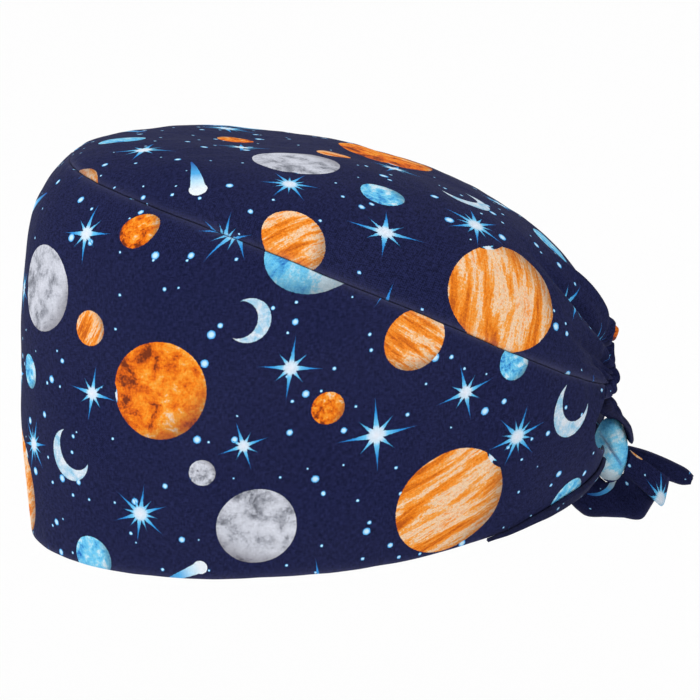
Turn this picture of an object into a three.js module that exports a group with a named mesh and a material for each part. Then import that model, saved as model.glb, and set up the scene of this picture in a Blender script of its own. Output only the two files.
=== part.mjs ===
// A surgical scrub cap of printed cotton, tied at the back. Millimetres, +Z up, the forehead towards -Y
// and the wearer's left towards +X. The origin is the middle of the head opening, level with the rim
// over the ears.

import * as THREE from "three";

// Driving sizes of the cap's body
const CAP_LENGTH = 230;
const CAP_WIDTH = 176;
const CAP_HEIGHT = 151;
const CLOTH = 1.2;
const SEAM_GAP = 0.3;

// The elastic hem over the opening at the back, and the gathers that it draws in the cloth
const CASING_THICKNESS = 2.4;
const CASING_ROUND = 0.8;
const CASING_INNER_ROUND = 0.4;
const GATHER_COUNT = 13;
const GATHER_DEPTH = 1.5;
const GATHER_REACH = 0.9;
const GATHER_FAN = 0.45;
const GATHER_UNEVEN = 0.2;
const GATHER_BEAT = 1.7;
const GATHER_OVERRUN = 1.15;
const GATHER_FADE = 0.3;
const FOLD_DEPTH = 4;
const FOLD_WIDTH = 7;
const FOLD_HOLD = 1.8;

// The folded strips along the rear rim, the knot and its free ends
const STRAP_WIDTH = 7.5;
const STRAP_HANG = 0.4;
const STRAP_SWELL = 0.4;
const KNOT_WIDTH = 20;
const KNOT_DEPTH = 13.4;
const KNOT_HEIGHT = 26;
const KNOT_OUT = 4.2;
const KNOT_DROP = 2;
const KNOT_CREASE = 1.1;
const KNOT_CREASE_SLANT = 0.75;
const KNOT_CREASE_WIDTH = 0.16;
const KNOT_LEAST_FLAT = 0.5;
const LOOP_WIDTH = 13;
const LOOP_THICKNESS = 6;
const TAIL_CLOTH = 1.6;
const TAIL_LENGTH = 22.8;
const TAIL_REACH = 34;
const TAIL_LEAN = 0.3;
const TAIL_CURL = 0.12;
const TIE_GAP = 0.4;

// Reading a short table whose columns have names
function table(columns, rows) {
  return rows.map((row) => Object.fromEntries(columns.map((name, i) => [name, row[i]])));
}

// The body's form, one row for each ring of cloth, from the rim (reach 0) over the seam (reach 6) to
// the top (reach 12). front, middle and back are shares of half the length, side is a share of half
// the width, and the heights are shares of the cap's height. square is the ring's superellipse power.
const SEAM_REACH = 6;
const TOP_REACH = 12;
const FORM = table(
  ["front", "middle", "back", "side", "frontHeight", "sideHeight", "backHeight", "square"],
  [
    [0.979, 0.0, 0.941, 0.886, -0.015, 0.0, 0.142, 2.3],
    [0.994, 0.009, 0.965, 0.943, 0.156, 0.129, 0.185, 2.35],
    [0.997, 0.017, 0.987, 0.989, 0.348, 0.305, 0.235, 2.4],
    [0.985, 0.026, 1.0, 1.0, 0.584, 0.464, 0.281, 2.4],
    [0.959, 0.035, 1.004, 0.994, 0.768, 0.599, 0.318, 2.38],
    [0.911, 0.043, 1.002, 0.97, 0.871, 0.69, 0.345, 2.35],
    [0.819, 0.052, 0.999, 0.935, 0.95, 0.738, 0.378, 2.3],
    [0.725, 0.078, 0.987, 0.876, 0.983, 0.792, 0.43, 2.28],
    [0.582, 0.113, 0.962, 0.8, 0.997, 0.84, 0.508, 2.25],
    [0.413, 0.157, 0.88, 0.682, 0.994, 0.883, 0.637, 2.2],
    [0.184, 0.191, 0.728, 0.511, 0.976, 0.914, 0.758, 2.15],
    [-0.035, 0.217, 0.504, 0.284, 0.96, 0.927, 0.854, 2.1],
    [-0.243, 0.243, 0.243, 0.0, 0.924, 0.924, 0.924, 2.0],
  ],
);

// Folds and dents, each a line over the cloth from its deep end to where it fades: turn is in degrees
// from the forehead round the wearer's left, and a negative one is on the right. lift is a share of
// FOLD_DEPTH, outwards, and width a share of FOLD_WIDTH.
const FOLDS = table(
  ["turnStart", "reachStart", "turnMiddle", "reachMiddle", "turnEnd", "reachEnd", "lift", "width"],
  [
    [173, 7.4, 158, 8.3, 136, 9.7, -1.1, 0.8],
    [180, 7.72, 168, 8.6, 152, 9.9, 1.15, 0.72],
    [165, 7.0, 151, 7.4, 141, 7.6, -0.45, 0.5],
    [-172, 7.3, -152, 7.9, -134, 8.7, -0.8, 0.7],
    [-164, 7.9, -150, 8.6, -138, 9.2, 0.4, 0.8],
    [-163, 7.0, -148, 7.3, -137, 7.5, -0.4, 0.5],
    [98, 1.7, 86, 1.6, 70, 1.8, -0.4, 1.6],
    [-92, 2.0, -80, 1.8, -66, 2.0, -0.35, 1.6],
  ],
);

// The band's rear end, from the end of the seam to the knot: the line that its upper edge follows, and
// the turn of the rim's point below each of its points. It bounds the opening and narrows to the tie,
// and on the right it reaches further back, at rightTurn.
const BAND_END = table(
  ["turn", "rightTurn", "reach", "rimTurn"],
  [
    [157, 157, 6, 133],
    [156, 156.9, 5.5, 134.5],
    [154.3, 156.9, 4.9, 136.5],
    [151.5, 156.8, 4.3, 139.5],
    [149.5, 156.2, 3.6, 144],
    [149.3, 155.5, 2.9, 148.7],
    [151.8, 156.5, 2.3, 154],
    [158, 160, 2.05, 159],
    [166, 167, 1.92, 167],
  ],
);
const TIE_REACH = 1.85;
const PLAIN_TURN = 118;
const ARCH_TURN = BAND_END[0].turn;
const ARCH_RISE = 1.45;
const OPENING_REACH = 4.9;
const OPENING_RISE = 1.7;

function smoothStep(share) {
  const s = Math.min(Math.max(share, 0), 1);
  return s * s * (3 - 2 * s);
}

function mix(a, b, share) {
  return a + (b - a) * share;
}

function radians(degrees) {
  return (degrees * Math.PI) / 180;
}

// A smooth curve through one column of a table, with the row number as its parameter
function columnAt(rows, name, at) {
  const last = rows.length - 1;
  const i = Math.min(Math.max(Math.floor(at), 0), last - 1);
  const f = at - i;
  const p1 = rows[i][name];
  const p2 = rows[i + 1][name];
  const p0 = i > 0 ? rows[i - 1][name] : 2 * p1 - p2;
  const p3 = i < last - 1 ? rows[i + 2][name] : 2 * p2 - p1;
  const bend = (2 * p0 - 5 * p1 + 4 * p2 - p3) * f * f + (3 * p1 - p0 - 3 * p2 + p3) * f * f * f;
  return 0.5 * (2 * p1 + (p2 - p0) * f + bend);
}

// A point of the smooth form, without folds
function formPoint(reach, turn) {
  const at = (name) => columnAt(FORM, name, reach);
  const halfLength = CAP_LENGTH / 2;
  const middle = at("middle") * halfLength;
  const square = at("square");
  const sine = Math.sin(radians(turn));
  const cosine = Math.cos(radians(turn));
  const radius = (Math.abs(sine) ** square + Math.abs(cosine) ** square) ** (-1 / square);
  const forward = radius * cosine;
  const arm = forward > 0 ? middle + at("front") * halfLength : at("back") * halfLength - middle;
  const low = at("sideHeight");
  const tilt = 0.5 * (at("frontHeight") - at("backHeight"));
  const sag = 0.5 * (at("frontHeight") + at("backHeight")) - low;
  return new THREE.Vector3(
    at("side") * (CAP_WIDTH / 2) * radius * sine,
    middle - arm * forward,
    CAP_HEIGHT * (low + tilt * forward + sag * forward * forward),
  );
}

// The outward direction of the smooth form
function formNormal(reach, turn) {
  const step = 0.05;
  const low = Math.min(reach, TOP_REACH - 2 * step);
  const round = formPoint(low, turn + 1).sub(formPoint(low, turn - 1));
  const up = formPoint(low + step, turn).sub(formPoint(low - step, turn));
  return round.cross(up).normalize();
}

// How much reach a length of cloth takes at a place
function reachOf(length, reach, turn) {
  const step = 0.1;
  return (length * step) / formPoint(reach + step, turn).distanceTo(formPoint(reach, turn));
}

// The turn at which a ring is a given distance aside of the middle of the back
function turnAside(reach, aside) {
  const square = columnAt(FORM, "square", reach);
  const share = aside / ((columnAt(FORM, "side", reach) * CAP_WIDTH) / 2);
  const back = (1 - share ** square) ** (1 / square);
  return 180 - (Math.atan2(share, back) * 180) / Math.PI;
}

// The crown's lower edge and the lower edge of the elastic hem, which arch over the opening
function archRise(turn) {
  return smoothStep((Math.abs(turn) - ARCH_TURN) / (180 - ARCH_TURN));
}

function crownEdge(turn) {
  return SEAM_REACH + ARCH_RISE * archRise(turn);
}

function openingEdge(turn) {
  return OPENING_REACH + OPENING_RISE * archRise(turn);
}

// The waves that the elastic gathers, strongest at the hem and spreading upwards
function gatherLift(reach, turn) {
  const aside = turn > 0 ? turn - 180 : turn + 180;
  const above = Math.max(reach - crownEdge(turn), 0);
  const home = aside / (1 + GATHER_FAN * above);
  const archHalf = 180 - ARCH_TURN;
  const wave = (home * GATHER_COUNT) / (2 * archHalf);
  const uneven = GATHER_UNEVEN * Math.sin(wave * GATHER_BEAT + 1);
  const depth = GATHER_DEPTH * Math.exp(-((above / GATHER_REACH) ** 2));
  const fade = smoothStep((archHalf * GATHER_OVERRUN - Math.abs(home)) / (archHalf * GATHER_FADE));
  return reach < OPENING_REACH ? 0 : depth * fade * Math.cos(2 * Math.PI * (wave + uneven));
}

// Each fold as a line in space on the smooth form
const FOLD_STEPS = 8;
const foldLines = FOLDS.map((fold) => {
  const points = [];
  for (let i = 0; i <= FOLD_STEPS; i += 1) {
    const s = i / FOLD_STEPS;
    const start = (1 - s) * (1 - 2 * s);
    const middle = 4 * s * (1 - s);
    const end = s * (2 * s - 1);
    const turn = start * fold.turnStart + middle * fold.turnMiddle + end * fold.turnEnd;
    const reach = start * fold.reachStart + middle * fold.reachMiddle + end * fold.reachEnd;
    points.push(formPoint(reach, turn));
  }
  return points;
});

// How far the folds lift the cloth at a point of the form
function foldLift(point) {
  const line = new THREE.Line3();
  const nearest = new THREE.Vector3();
  let lift = 0;
  FOLDS.forEach((fold, number) => {
    let best = Infinity;
    let along = 0;
    for (let i = 0; i < FOLD_STEPS; i += 1) {
      line.set(foldLines[number][i], foldLines[number][i + 1]);
      const share = line.closestPointToPointParameter(point, true);
      const distance = line.at(share, nearest).distanceTo(point);
      if (distance < best) {
        best = distance;
        along = (i + share) / FOLD_STEPS;
      }
    }
    const across = best / (FOLD_WIDTH * fold.width);
    const fade = smoothStep((1 - along) * FOLD_HOLD);
    lift += fold.lift * FOLD_DEPTH * Math.exp(-across * across) * fade;
  });
  return lift;
}

// A point of the cloth, a given depth below its outer face
function clothPoint(reach, turn, depth) {
  const point = formPoint(reach, turn);
  const lift = gatherLift(reach, turn) + foldLift(point);
  return point.addScaledVector(formNormal(reach, turn), lift - depth);
}

// Collecting the faces of one closed body
class Body {
  constructor() {
    this.positions = [];
    this.faces = [];
  }

  add(point) {
    this.positions.push(point.x, point.y, point.z);
    return this.positions.length / 3 - 1;
  }

  quad(a, b, c, d) {
    this.faces.push(a, b, c, a, c, d);
  }

  mesh(name, colour) {
    const geometry = new THREE.BufferGeometry();
    geometry.setAttribute("position", new THREE.Float32BufferAttribute(this.positions, 3));
    geometry.setIndex(this.faces);
    geometry.computeVertexNormals();
    const material = new THREE.MeshStandardMaterial({ color: colour, roughness: 0.85, metalness: 0 });
    const mesh = new THREE.Mesh(geometry, material);
    mesh.name = name;
    return mesh;
  }
}

// A wall of cloth from its outer and inner faces, given as rows of points from the lower edge up
function wall(outer, inner) {
  const body = new Body();
  const front = outer.map((row) => row.map((point) => body.add(point)));
  const back = inner.map((row) => row.map((point) => body.add(point)));
  const rows = front.length - 1;
  const columns = front[0].length - 1;
  for (let j = 0; j < columns; j += 1) {
    for (let i = 0; i < rows; i += 1) {
      body.quad(front[i][j], front[i][j + 1], front[i + 1][j + 1], front[i + 1][j]);
      body.quad(back[i][j], back[i + 1][j], back[i + 1][j + 1], back[i][j + 1]);
    }
    body.quad(front[0][j], back[0][j], back[0][j + 1], front[0][j + 1]);
    body.quad(front[rows][j], front[rows][j + 1], back[rows][j + 1], back[rows][j]);
  }
  for (let i = 0; i < rows; i += 1) {
    body.quad(front[i][0], front[i + 1][0], back[i + 1][0], back[i][0]);
    body.quad(front[i][columns], back[i][columns], back[i + 1][columns], front[i + 1][columns]);
  }
  return body;
}

// A domed wall of cloth from closed rings of points, with one point at the top of each face
function dome(outer, inner, outerTop, innerTop) {
  const body = new Body();
  const front = outer.map((row) => row.map((point) => body.add(point)));
  const back = inner.map((row) => row.map((point) => body.add(point)));
  const top = body.add(outerTop);
  const under = body.add(innerTop);
  const last = front.length - 1;
  const count = front[0].length;
  for (let j = 0; j < count; j += 1) {
    const k = (j + 1) % count;
    for (let i = 0; i < last; i += 1) {
      body.quad(front[i][j], front[i][k], front[i + 1][k], front[i + 1][j]);
      body.quad(back[i][j], back[i + 1][j], back[i + 1][k], back[i][k]);
    }
    body.quad(front[0][j], back[0][j], back[0][k], front[0][k]);
    body.faces.push(front[last][j], front[last][k], top);
    body.faces.push(back[last][k], back[last][j], under);
  }
  return body;
}

// A solid through closed rings of points, each ring turning the same way round, with a point at each end
function loft(rings, first, last) {
  const body = new Body();
  const ids = rings.map((ring) => ring.map((point) => body.add(point)));
  const start = body.add(first);
  const end = body.add(last);
  const count = ids[0].length;
  for (let j = 0; j < count; j += 1) {
    const k = (j + 1) % count;
    for (let i = 0; i < ids.length - 1; i += 1) {
      body.quad(ids[i][j], ids[i][k], ids[i + 1][k], ids[i + 1][j]);
    }
    body.faces.push(ids[0][k], ids[0][j], start);
    body.faces.push(ids[ids.length - 1][j], ids[ids.length - 1][k], end);
  }
  return body;
}

// A free sheet of cloth from a grid of points on its middle
function sheet(grid, thickness) {
  const rows = grid.length - 1;
  const columns = grid[0].length - 1;
  const shifted = (side) =>
    grid.map((row, i) =>
      row.map((point, j) => {
        const round = row[Math.min(j + 1, columns)].clone().sub(row[Math.max(j - 1, 0)]);
        const up = grid[Math.min(i + 1, rows)][j].clone().sub(grid[Math.max(i - 1, 0)][j]);
        const normal = round.cross(up).normalize();
        return point.clone().addScaledVector(normal, (side * thickness) / 2);
      }),
    );
  return wall(shifted(1), shifted(-1));
}

function evenly(from, to, steps) {
  return Array.from({ length: steps + 1 }, (_, i) => mix(from, to, i / steps));
}

const NAVY = 0x20204a;
const group = new THREE.Group();

// The turns of the columns of cloth along the seam, the same for the band and the crown
const FRONT_STEPS = 40;
const SEAM_END_STEPS = 10;
const plainTurns = evenly(-PLAIN_TURN, PLAIN_TURN, FRONT_STEPS);
const seamEndTurns = evenly(PLAIN_TURN, ARCH_TURN, SEAM_END_STEPS).slice(1);
const seamTurns = [...seamEndTurns.map((turn) => -turn).reverse(), ...plainTurns, ...seamEndTurns];

// Crown: rings from its lower edge to the top, closely set over the arch where it is gathered
const ARCH_STEPS = GATHER_COUNT * 4;
const archTurns = evenly(ARCH_TURN, 360 - ARCH_TURN, ARCH_STEPS).slice(1, -1);
const crownTurns = [...seamTurns, ...archTurns.map((turn) => (turn > 180 ? turn - 360 : turn))];
const CROWN_SHARES = [0, 0.05, 0.12, 0.21, 0.32, 0.45, 0.59, 0.74, 0.88];

function crownRings(depth) {
  return CROWN_SHARES.map((share) =>
    crownTurns.map((turn) => {
      const edge = crownEdge(turn);
      const low = edge + reachOf(SEAM_GAP / 2, edge, turn);
      return clothPoint(mix(low, TOP_REACH, share), turn, depth);
    }),
  );
}

group.add(
  dome(
    crownRings(0),
    crownRings(CLOTH),
    formPoint(TOP_REACH, 0),
    formPoint(TOP_REACH, 0).add(new THREE.Vector3(0, 0, -CLOTH)),
  ).mesh("crown", NAVY),
);

// Front band: plain round the front and sides, then the shaped ends that run to the knot
const KNOT_SHARE_AT_BAND = 0.8;
const knotSide = (KNOT_SHARE_AT_BAND * KNOT_WIDTH) / 2 + TIE_GAP;
const tieTurn = turnAside(TIE_REACH / 2, knotSide);
const tieEnd = { turn: tieTurn, rightTurn: tieTurn, reach: TIE_REACH, rimTurn: tieTurn };
const bandEnd = [...BAND_END.slice(1), tieEnd];
const BAND_SHARES = [0, 0.1, 0.22, 0.35, 0.48, 0.61, 0.74, 0.87, 1];

function bandColumns() {
  const sewn = seamTurns.map((turn) => {
    const share = Math.max(Math.abs(turn) - PLAIN_TURN, 0) / (ARCH_TURN - PLAIN_TURN);
    const rimTurn = mix(PLAIN_TURN, BAND_END[0].rimTurn, share) * Math.sign(turn);
    return { turn, reach: SEAM_REACH, rimTurn: share > 0 ? rimTurn : turn };
  });
  const right = bandEnd.map((row) => ({ turn: -row.rightTurn, reach: row.reach, rimTurn: -row.rimTurn }));
  return [...right.reverse(), ...sewn, ...bandEnd];
}

function bandRows(depth) {
  return BAND_SHARES.map((share) =>
    bandColumns().map((column) => {
      const top = column.reach - reachOf(SEAM_GAP / 2, column.reach, column.turn);
      return clothPoint(top * share, mix(column.rimTurn, column.turn, share), depth);
    }),
  );
}

group.add(wall(bandRows(0), bandRows(CLOTH)).mesh("front_band", NAVY));

// Elastic hem: a rounded, gathered strip from one end of the band to the other, over the opening
const CASING_SHARES = [0, 0.25, 0.75, 1];
const CASING_FOOT_SHARE = 0.02;

function casingRows(depth) {
  const footTurn = mix(ARCH_TURN, 180, CASING_FOOT_SHARE);
  return CASING_SHARES.map((share) =>
    [footTurn, ...archTurns, 360 - footTurn].map((around) => {
      const turn = around > 180 ? around - 360 : around;
      const edge = crownEdge(turn);
      const top = edge - reachOf(SEAM_GAP / 2, edge, turn);
      const round = 1 - (2 * share - 1) ** 2;
      const swell = depth > 0 ? -CASING_INNER_ROUND * round : CASING_ROUND * round;
      return clothPoint(mix(openingEdge(turn), top, share), turn, depth - swell);
    }),
  );
}

group.add(wall(casingRows(0), casingRows(CASING_THICKNESS)).mesh("back_casing", NAVY));

// Tie straps: a tapered strip over the rear rim on each side, up to the knot
const STRAP_START_TURN = 124;
const STRAP_POINT = 0.15;
const STRAP_TAPER = 0.5;
const STRAP_STEPS = 16;

function strapRows(side, depth) {
  const endTurn = turnAside(0, knotSide + CLOTH);
  const turns = evenly(STRAP_START_TURN, endTurn, STRAP_STEPS);
  const columns = side > 0 ? turns : turns.map((turn) => -turn).reverse();
  return [0, 1 / 3, 2 / 3, 1].map((share) =>
    columns.map((turn) => {
      const along = (Math.abs(turn) - STRAP_START_TURN) / (endTurn - STRAP_START_TURN);
      const width = STRAP_WIDTH * mix(STRAP_POINT, 1, smoothStep(along / STRAP_TAPER));
      const low = -reachOf(STRAP_HANG, 0, turn);
      const high = reachOf(width, 0, turn) + low;
      const swell = depth > 0 ? STRAP_SWELL * (1 - (2 * share - 1) ** 2) : 0;
      return clothPoint(mix(low, high, share), turn, -SEAM_GAP - depth - swell);
    }),
  );
}

for (const [name, side] of [["tie_strap_left", 1], ["tie_strap_right", -1]]) {
  group.add(wall(strapRows(side, CLOTH), strapRows(side, 0)).mesh(name, NAVY));
}

// Knot: an upright bulge at the middle of the back, with a slanting crease on each side
const knotSeat = formPoint(1, 180);
const knotMiddle = knotSeat.clone().add(new THREE.Vector3(0, KNOT_OUT, -KNOT_DROP));

// A point round the knot as seen from the side: 0 degrees is its back, 90 its top
function aroundKnot(degrees, out, aside) {
  const flat = Math.sqrt(Math.max(1 - (aside / (KNOT_WIDTH / 2)) ** 2, KNOT_LEAST_FLAT ** 2));
  const back = Math.cos(radians(degrees));
  const up = Math.sin(radians(degrees));
  const away = new THREE.Vector3(0, back / KNOT_DEPTH, up / KNOT_HEIGHT).normalize();
  return knotMiddle
    .clone()
    .add(new THREE.Vector3(aside, (back * flat * KNOT_DEPTH) / 2, (up * flat * KNOT_HEIGHT) / 2))
    .addScaledVector(away, out);
}

function knotRings() {
  const slices = 11;
  const sides = 20;
  const rings = [];
  for (let i = 1; i < slices; i += 1) {
    const share = Math.cos((Math.PI * i) / slices);
    const flat = Math.sqrt(1 - share * share);
    rings.push(
      Array.from({ length: sides }, (_, j) => {
        const angle = (2 * Math.PI * j) / sides;
        const back = flat * Math.cos(angle);
        const up = flat * Math.sin(angle);
        const off = (up + KNOT_CREASE_SLANT * back) / KNOT_CREASE_WIDTH;
        const crease = Math.exp(-off * off) * Math.abs(share);
        const aside = (share * KNOT_WIDTH) / 2 - Math.sign(share) * KNOT_CREASE * crease;
        return knotMiddle
          .clone()
          .add(new THREE.Vector3(-aside, (back * KNOT_DEPTH) / 2, (up * KNOT_HEIGHT) / 2));
      }),
    );
  }
  return rings;
}

const knotEnd = new THREE.Vector3(KNOT_WIDTH / 2, 0, 0);
group.add(
  loft(knotRings(), knotMiddle.clone().sub(knotEnd), knotMiddle.clone().add(knotEnd)).mesh("tie_knot", NAVY),
);

// Loop: a strand that comes from under the elastic over the top and the back of the knot, flattened
// where it is drawn over it. around and out place its middle, out and thick are shares of
// LOOP_THICKNESS, and width is a share of LOOP_WIDTH.
const LOOP = table(
  ["around", "out", "width", "thick"],
  [
    [94, 0.7, 0.4, 0.78],
    [90, 0.04, 0.7, 0.84],
    [66, 0, 1, 0.32],
    [38, 0, 1, 0.37],
    [14, 0, 0.95, 0.3],
  ],
);

function loopRings() {
  const sides = 10;
  const steps = 8;
  const path = evenly(0, LOOP.length - 1, steps).map((at) => {
    const half = (columnAt(LOOP, "thick", at) * LOOP_THICKNESS) / 2;
    const out = Math.max(columnAt(LOOP, "out", at), 0) * LOOP_THICKNESS + half + TIE_GAP;
    const point = aroundKnot(columnAt(LOOP, "around", at), out, 0);
    return { point, half, width: columnAt(LOOP, "width", at) };
  });
  return path.map(({ point, half, width }, i) => {
    const ahead = path[Math.min(i + 1, steps)].point;
    const behind = path[Math.max(i - 1, 0)].point;
    const away = new THREE.Vector3(1, 0, 0).cross(ahead.clone().sub(behind)).normalize();
    return Array.from({ length: sides }, (_, j) => {
      const angle = (2 * Math.PI * j) / sides;
      return point
        .clone()
        .addScaledVector(away, Math.sin(angle) * half)
        .sub(new THREE.Vector3((Math.cos(angle) * LOOP_WIDTH * width) / 2, 0, 0));
    });
  });
}

function ringMiddle(ring) {
  return ring.reduce((sum, point) => sum.add(point), new THREE.Vector3()).divideScalar(ring.length);
}

const loop = loopRings();
group.add(loft(loop, ringMiddle(loop[0]), ringMiddle(loop[loop.length - 1])).mesh("tie_loop", NAVY));

// Left tail: a wide end that fans out below and behind the knot, with a pleat where aside drops.
// around places its root on the knot, and back and up are shares of TAIL_LENGTH from the knot's middle.
const TAIL_LEFT = table(
  ["around", "rootAside", "back", "up", "tipAside"],
  [
    [0, 0.1, 0.99, -0.45, 0.3],
    [-16, 0.18, 0.94, -0.66, 0.38],
    [-32, 0.25, 0.88, -0.86, 0.42],
    [-48, 0.12, 0.74, -0.9, 0.14],
    [-66, 0.14, 0.55, -1.19, 0.16],
    [-90, 0.2, 0.12, -1.13, 0.24],
    [-110, 0.18, -0.35, -1.13, 0.26],
    [-126, 0.12, -0.56, -1.02, 0.2],
    [-140, 0.08, -0.74, -0.85, 0.12],
  ],
);

function tailLeftGrid() {
  const lengths = evenly(0, 1, 5);
  return TAIL_LEFT.map((row) => {
    const root = aroundKnot(row.around, TIE_GAP + TAIL_CLOTH / 2, row.rootAside * TAIL_LENGTH);
    const offset = new THREE.Vector3(row.tipAside, row.back, row.up).multiplyScalar(TAIL_LENGTH);
    const tip = knotMiddle.clone().add(offset);
    return lengths.map((share) => root.clone().lerp(tip, share));
  });
}

group.add(sheet(tailLeftGrid(), TAIL_CLOTH).mesh("tie_tail_left", NAVY));

// Right tail: a narrow, twisted end that points back and down to its rounded tip.
// back and up are shares of TAIL_REACH from the knot's middle, and half is its half width.
const TAIL_RIGHT = table(
  ["back", "up", "aside", "half"],
  [
    [0.185, -0.12, -0.12, 0.12],
    [0.38, -0.195, -0.16, 0.13],
    [0.58, -0.275, -0.19, 0.125],
    [0.74, -0.325, -0.21, 0.1],
    [0.89, -0.39, -0.22, 0.085],
    [0.985, -0.43, -0.22, 0.04],
  ],
);

function tailRightGrid() {
  const steps = 10;
  const last = TAIL_RIGHT.length - 1;
  return [1, 0.5, 0, -0.5, -1].map((across) =>
    evenly(0, last, steps).map((at) => {
      const half = columnAt(TAIL_RIGHT, "half", at) * TAIL_REACH;
      const place = new THREE.Vector3(
        columnAt(TAIL_RIGHT, "aside", at) * TAIL_REACH + TAIL_CURL * half * Math.cos(Math.PI * across),
        columnAt(TAIL_RIGHT, "back", at) * TAIL_REACH + TAIL_LEAN * half * across,
        columnAt(TAIL_RIGHT, "up", at) * TAIL_REACH + half * across,
      );
      return knotMiddle.clone().add(place);
    }),
  );
}

group.add(sheet(tailRightGrid(), TAIL_CLOTH).mesh("tie_tail_right", NAVY));

export default group;
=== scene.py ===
import math

import bpy
import numpy as np
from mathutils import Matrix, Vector


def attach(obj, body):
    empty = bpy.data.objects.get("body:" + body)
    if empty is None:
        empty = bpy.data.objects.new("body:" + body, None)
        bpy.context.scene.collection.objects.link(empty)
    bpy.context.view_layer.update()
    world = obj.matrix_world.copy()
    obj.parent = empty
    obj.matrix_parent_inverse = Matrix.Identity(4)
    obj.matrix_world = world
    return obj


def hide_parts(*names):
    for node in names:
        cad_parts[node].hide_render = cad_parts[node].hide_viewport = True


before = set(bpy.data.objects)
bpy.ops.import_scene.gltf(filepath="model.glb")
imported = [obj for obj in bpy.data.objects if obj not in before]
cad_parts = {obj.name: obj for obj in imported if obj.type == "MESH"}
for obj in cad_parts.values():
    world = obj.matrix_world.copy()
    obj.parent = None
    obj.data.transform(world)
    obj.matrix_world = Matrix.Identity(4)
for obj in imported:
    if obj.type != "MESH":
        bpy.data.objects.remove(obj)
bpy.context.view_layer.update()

# Camera: a long lens at the wearer's left, 13 degrees above the rim, so that the forehead is at the left
# of the picture and the knot at the right.
CAMERA_AIM = Vector((0.0, 0.01265, 0.0662))
CAMERA_DISTANCE = 0.95
camera_rise = math.radians(13)
camera_back = Vector((math.cos(camera_rise), 0.0, math.sin(camera_rise)))
camera_data = bpy.data.cameras.new("camera")
camera_data.lens = 125.32
camera_data.sensor_width = 36
camera_data.clip_end = 100
camera = bpy.data.objects.new("camera", camera_data)
camera.location = CAMERA_AIM + CAMERA_DISTANCE * camera_back
camera.rotation_euler = (-camera_back).to_track_quat("-Z", "Y").to_euler()
bpy.context.scene.collection.objects.link(camera)
bpy.context.scene.camera = camera


# Front band: the deep panel of printed plain-weave cotton round the forehead and the sides. Its rim is
# hemmed, its upper edge is sewn to the crown with the allowance turned up inside, and its rear ends
# narrow to the tie.

MM = 0.001
HALF_LENGTH, HALF_WIDTH, HEIGHT = 115.0, 88.0, 151.0
SEAM_REACH, TOP_REACH = 6.0, 12.0

# One row for each ring of cloth, from the rim (reach 0) over the seam (6) to the top (12): front, middle
# and back as shares of half the length, side of half the width, three heights and the ring's squareness
FORM = np.array([
    [0.979, 0.0, 0.941, 0.886, -0.015, 0.0, 0.142, 2.3],
    [0.994, 0.009, 0.965, 0.943, 0.156, 0.129, 0.185, 2.35],
    [0.997, 0.017, 0.987, 0.989, 0.348, 0.305, 0.235, 2.4],
    [0.985, 0.026, 1.0, 1.0, 0.584, 0.464, 0.281, 2.4],
    [0.959, 0.035, 1.004, 0.994, 0.768, 0.599, 0.318, 2.38],
    [0.911, 0.043, 1.002, 0.97, 0.871, 0.69, 0.345, 2.35],
    [0.819, 0.052, 0.999, 0.935, 0.95, 0.738, 0.378, 2.3],
    [0.725, 0.078, 0.987, 0.876, 0.983, 0.792, 0.43, 2.28],
    [0.582, 0.113, 0.962, 0.8, 0.997, 0.84, 0.508, 2.25],
    [0.413, 0.157, 0.88, 0.682, 0.994, 0.883, 0.637, 2.2],
    [0.184, 0.191, 0.728, 0.511, 0.976, 0.914, 0.758, 2.15],
    [-0.035, 0.217, 0.504, 0.284, 0.96, 0.927, 0.854, 2.1],
    [-0.243, 0.243, 0.243, 0.0, 0.924, 0.924, 0.924, 2.0],
])


def table_at(rows, at):
    """A smooth curve through the rows of a table, with the row number as its parameter."""
    at = np.asarray(at, float)
    last = len(rows) - 1
    i = np.clip(np.floor(at).astype(int), 0, last - 1)
    f = (at - i)[..., None]
    p1, p2 = rows[i], rows[i + 1]
    p0 = np.where((i > 0)[..., None], rows[np.maximum(i - 1, 0)], 2 * p1 - p2)
    p3 = np.where((i < last - 1)[..., None], rows[np.minimum(i + 2, last)], 2 * p2 - p1)
    bend = (2 * p0 - 5 * p1 + 4 * p2 - p3) * f**2 + (3 * p1 - p0 - 3 * p2 + p3) * f**3
    return 0.5 * (2 * p1 + (p2 - p0) * f + bend)


def smooth_step(share):
    s = np.clip(share, 0.0, 1.0)
    return s * s * (3 - 2 * s)


def mix(a, b, share):
    return a + (b - a) * share


def form_point(reach, turn):
    """A point of the smooth form in mm: turn is 0 at the forehead and +90 degrees at the wearer's left."""
    reach, turn = np.broadcast_arrays(np.asarray(reach, float), np.asarray(turn, float))
    front, middle, back, side, front_z, side_z, back_z, square = np.moveaxis(table_at(FORM, reach), -1, 0)
    sine, cosine = np.sin(np.radians(turn)), np.cos(np.radians(turn))
    radius = (np.abs(sine) ** square + np.abs(cosine) ** square) ** (-1 / square)
    forward = radius * cosine
    arm = np.where(forward > 0, middle + front, back - middle) * HALF_LENGTH
    tilt, sag = 0.5 * (front_z - back_z), 0.5 * (front_z + back_z) - side_z
    return np.stack([
        side * HALF_WIDTH * radius * sine,
        middle * HALF_LENGTH - arm * forward,
        HEIGHT * (side_z + tilt * forward + sag * forward**2),
    ], -1)


def unit(vectors):
    return vectors / np.maximum(np.linalg.norm(vectors, axis=-1, keepdims=True), 1e-9)


def form_normal(reach, turn):
    low = np.minimum(reach, TOP_REACH - 0.1)
    around = form_point(low, turn + 1) - form_point(low, turn - 1)
    up = form_point(low + 0.05, turn) - form_point(low - 0.05, turn)
    return unit(np.cross(around, up))


def reach_of(length, reach, turn):
    """How much reach a length of cloth takes at a place."""
    step = 0.1
    return length * step / np.linalg.norm(form_point(reach + step, turn) - form_point(reach, turn), axis=-1)


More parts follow.
